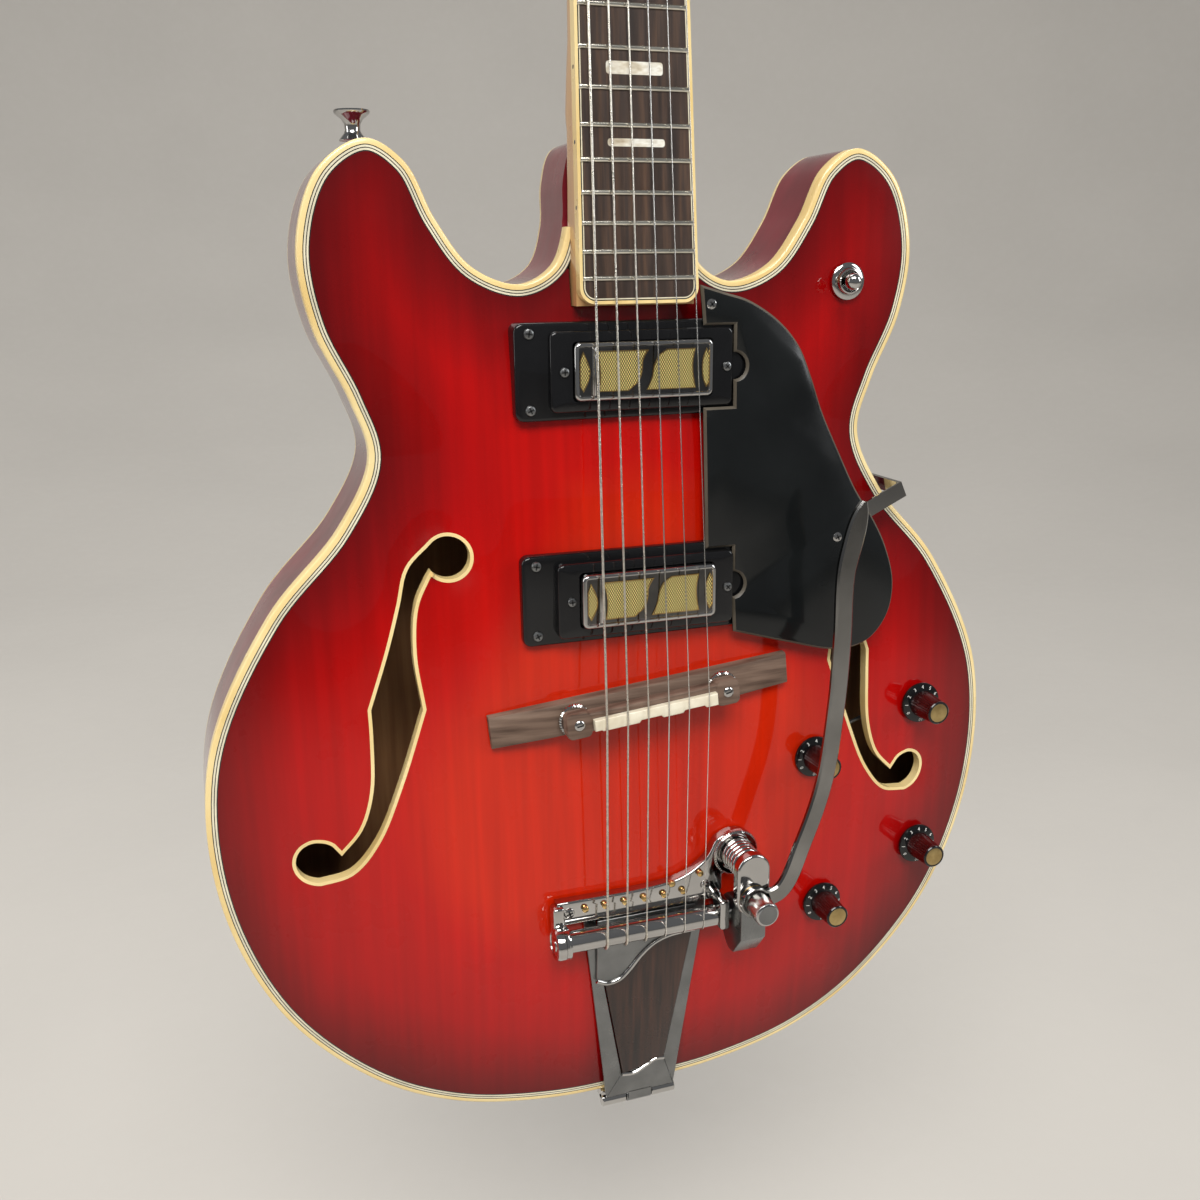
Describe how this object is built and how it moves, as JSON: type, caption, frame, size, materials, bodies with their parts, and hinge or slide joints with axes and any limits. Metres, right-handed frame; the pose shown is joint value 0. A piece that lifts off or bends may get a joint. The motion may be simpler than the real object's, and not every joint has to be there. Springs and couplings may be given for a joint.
{
  "type": "electric guitar",
  "caption": "Thin hollow-body electric guitar with double cutaway, sound holes, humbucking pickups, floating wooden bridge, rocking vibrato tailpiece, bound body and angled headstock.",
  "frame": {"origin": "middle of the fretboard's end at the nut, where a hanger's yoke holds the guitar", "axes": "+Z along the neck towards the headstock, -Y out of the body's front, +X towards the treble side"},
  "size_m": [0.4076, 0.1327, 1.044],
  "materials": {
    "cherry_top": "gloss lacquer, red sunburst",
    "cherry_side": "gloss lacquer, dark cherry",
    "inner_wood": "bare",
    "cream_binding": "aged cream",
    "maple_neck": "amber lacquer",
    "rosewood": "oiled",
    "bridge_wood": "dry, unpolished",
    "white_plastic": "off-white",
    "black_plastic": "gloss black",
    "chrome": "polished",
    "steel": "nickel-plated",
    "knob_plastic": "dark red-brown, gold cap"
  },
  "bodies": {
    "guitar": {"top_plate": "cherry_top", "back_plate": "cherry_side", "side_rim": "cherry_side", "centre_block": "inner_wood", "top_binding": "cream_binding", "back_binding": "cream_binding", "neck": "maple_neck", "fretboard": "rosewood", "nut": "white_plastic", "neck_plate": "chrome", "tuner_plate_bass": "chrome", "tuner_plate_treble": "chrome", "string_1": "steel", "string_2": "steel", "string_3": "steel", "string_4": "steel", "string_5": "steel", "string_6": "steel", "neck_pickup": "chrome", "neck_pickup_ring": "black_plastic", "bridge_pickup": "chrome", "bridge_pickup_ring": "black_plastic", "pickguard": "black_plastic", "pickguard_bracket": "chrome", "bridge_base": "bridge_wood", "bridge_post_bass": "steel", "bridge_post_treble": "steel", "tailpiece_frame": "chrome", "tailpiece_panel": "rosewood", "tail_hinge_bracket": "chrome", "vibrato_spring": "steel", "control_pots": "steel", "switch_body": "chrome", "output_jack": "chrome", "strap_button_horn": "chrome", "strap_button_tail": "chrome"},
    "button_1": {"tuner_button_1": "white_plastic"},
    "post_1": {"tuner_post_1": "steel"},
    "button_2": {"tuner_button_2": "white_plastic"},
    "post_2": {"tuner_post_2": "steel"},
    "button_3": {"tuner_button_3": "white_plastic"},
    "post_3": {"tuner_post_3": "steel"},
    "button_4": {"tuner_button_4": "white_plastic"},
    "post_4": {"tuner_post_4": "steel"},
    "button_5": {"tuner_button_5": "white_plastic"},
    "post_5": {"tuner_post_5": "steel"},
    "button_6": {"tuner_button_6": "white_plastic"},
    "post_6": {"tuner_post_6": "steel"},
    "treble_volume_knob": {"knob_treble_volume": "knob_plastic"},
    "bass_volume_knob": {"knob_bass_volume": "knob_plastic"},
    "bass_tone_knob": {"knob_bass_tone": "knob_plastic"},
    "treble_tone_knob": {"knob_treble_tone": "knob_plastic"},
    "switch": {"switch_lever": "chrome"},
    "bridge_top": {"bridge_bar": "bridge_wood", "bridge_saddle": "white_plastic"},
    "bass_wheel": {"bridge_wheel_bass": "chrome"},
    "treble_wheel": {"bridge_wheel_treble": "chrome"},
    "rocker": {"rocker_bar": "chrome"},
    "arm": {"vibrato_arm": "chrome"},
    "clamp_knob": {"arm_knob": "chrome"}
  },
  "joints": [
    {"name": "tuner_button_1_turn", "type": "hinge", "parent": "guitar", "child": "button_1", "pos_m": [-0.0225, 0.02523, 0.04271], "axis": [1, 0, 0], "continuous": true},
    {"name": "tuner_post_1_turn", "type": "hinge", "parent": "guitar", "child": "post_1", "pos_m": [-0.0225, 0.00528, 0.04695], "axis": [0, 0.9781, -0.2079], "continuous": true},
    {"name": "tuner_button_2_turn", "type": "hinge", "parent": "guitar", "child": "button_2", "pos_m": [-0.0235, 0.03355, 0.08184], "axis": [1, 0, 0], "continuous": true},
    {"name": "tuner_post_2_turn", "type": "hinge", "parent": "guitar", "child": "post_2", "pos_m": [-0.0235, 0.0136, 0.08608], "axis": [0, 0.9781, -0.2079], "continuous": true},
    {"name": "tuner_button_3_turn", "type": "hinge", "parent": "guitar", "child": "button_3", "pos_m": [-0.0245, 0.04187, 0.12096], "axis": [1, 0, 0], "continuous": true},
    {"name": "tuner_post_3_turn", "type": "hinge", "parent": "guitar", "child": "post_3", "pos_m": [-0.0245, 0.02191, 0.1252], "axis": [0, 0.9781, -0.2079], "continuous": true},
    {"name": "tuner_button_4_turn", "type": "hinge", "parent": "guitar", "child": "button_4", "pos_m": [0.0245, 0.04187, 0.12096], "axis": [1, 0, 0], "continuous": true},
    {"name": "tuner_post_4_turn", "type": "hinge", "parent": "guitar", "child": "post_4", "pos_m": [0.0245, 0.02191, 0.1252], "axis": [0, 0.9781, -0.2079], "continuous": true},
    {"name": "tuner_button_5_turn", "type": "hinge", "parent": "guitar", "child": "button_5", "pos_m": [0.0235, 0.03355, 0.08184], "axis": [1, 0, 0], "continuous": true},
    {"name": "tuner_post_5_turn", "type": "hinge", "parent": "guitar", "child": "post_5", "pos_m": [0.0235, 0.0136, 0.08608], "axis": [0, 0.9781, -0.2079], "continuous": true},
    {"name": "tuner_button_6_turn", "type": "hinge", "parent": "guitar", "child": "button_6", "pos_m": [0.0225, 0.02523, 0.04271], "axis": [1, 0, 0], "continuous": true},
    {"name": "tuner_post_6_turn", "type": "hinge", "parent": "guitar", "child": "post_6", "pos_m": [0.0225, 0.00528, 0.04695], "axis": [0, 0.9781, -0.2079], "continuous": true},
    {"name": "treble_volume_turn", "type": "hinge", "parent": "guitar", "child": "treble_volume_knob", "pos_m": [0.16, -0.03656, -0.661], "axis": [0, 1, 0], "range_deg": [-150, 150]},
    {"name": "bass_volume_turn", "type": "hinge", "parent": "guitar", "child": "bass_volume_knob", "pos_m": [0.096, -0.0403, -0.681], "axis": [0, 1, 0], "range_deg": [-150, 150]},
    {"name": "bass_tone_turn", "type": "hinge", "parent": "guitar", "child": "bass_tone_knob", "pos_m": [0.1045, -0.03923, -0.7665], "axis": [0, 1, 0], "range_deg": [-150, 150]},
    {"name": "treble_tone_turn", "type": "hinge", "parent": "guitar", "child": "treble_tone_knob", "pos_m": [0.1645, -0.03486, -0.7445], "axis": [0, 1, 0], "range_deg": [-150, 150]},
    {"name": "switch_flip", "type": "hinge", "parent": "guitar", "child": "switch", "pos_m": [0.1078, -0.03213, -0.4447], "axis": [0, 0, 1], "range_deg": [0, 36]},
    {"name": "bridge_height", "type": "slide", "parent": "guitar", "child": "bridge_top", "axis": [0, 1, 0], "range_m": [0, 0.0012]},
    {"name": "bass_wheel_turn", "type": "hinge", "parent": "bridge_top", "child": "bass_wheel", "pos_m": [-0.03504, -0.0488, -0.64045], "axis": [0, 1, 0], "range_deg": [0, 540]},
    {"name": "treble_wheel_turn", "type": "hinge", "parent": "bridge_top", "child": "treble_wheel", "pos_m": [0.03963, -0.0488, -0.6334], "axis": [0, 1, 0], "range_deg": [0, 540]},
    {"name": "vibrato_rock", "type": "hinge", "parent": "guitar", "child": "rocker", "pos_m": [0, -0.051, -0.755], "axis": [1, 0, 0], "range_deg": [-4, 2], "stiffness_Nm_per_rad": 30, "deforming": ["vibrato_spring"]},
    {"name": "arm_swivel", "type": "hinge", "parent": "rocker", "child": "arm", "pos_m": [0.05, -0.0704, -0.74], "axis": [0, 1, 0], "range_deg": [-60, 150]},
    {"name": "clamp_knob_turn", "type": "hinge", "parent": "rocker", "child": "clamp_knob", "pos_m": [0.05, -0.0723, -0.74], "axis": [0, 1, 0], "continuous": true}
  ],
  "couplings": [
    {"joint": "tuner_post_1_turn", "follows": "tuner_button_1_turn", "ratio": 0.066667},
    {"joint": "tuner_post_2_turn", "follows": "tuner_button_2_turn", "ratio": 0.066667},
    {"joint": "tuner_post_3_turn", "follows": "tuner_button_3_turn", "ratio": 0.066667},
    {"joint": "tuner_post_4_turn", "follows": "tuner_button_4_turn", "ratio": -0.066667},
    {"joint": "tuner_post_5_turn", "follows": "tuner_button_5_turn", "ratio": -0.066667},
    {"joint": "tuner_post_6_turn", "follows": "tuner_button_6_turn", "ratio": -0.066667},
    {"joint": "bridge_height", "follows": "bass_wheel_turn", "m_per_rad": 0.00012732},
    {"joint": "treble_wheel_turn", "follows": "bass_wheel_turn", "ratio": 1}
  ]
}
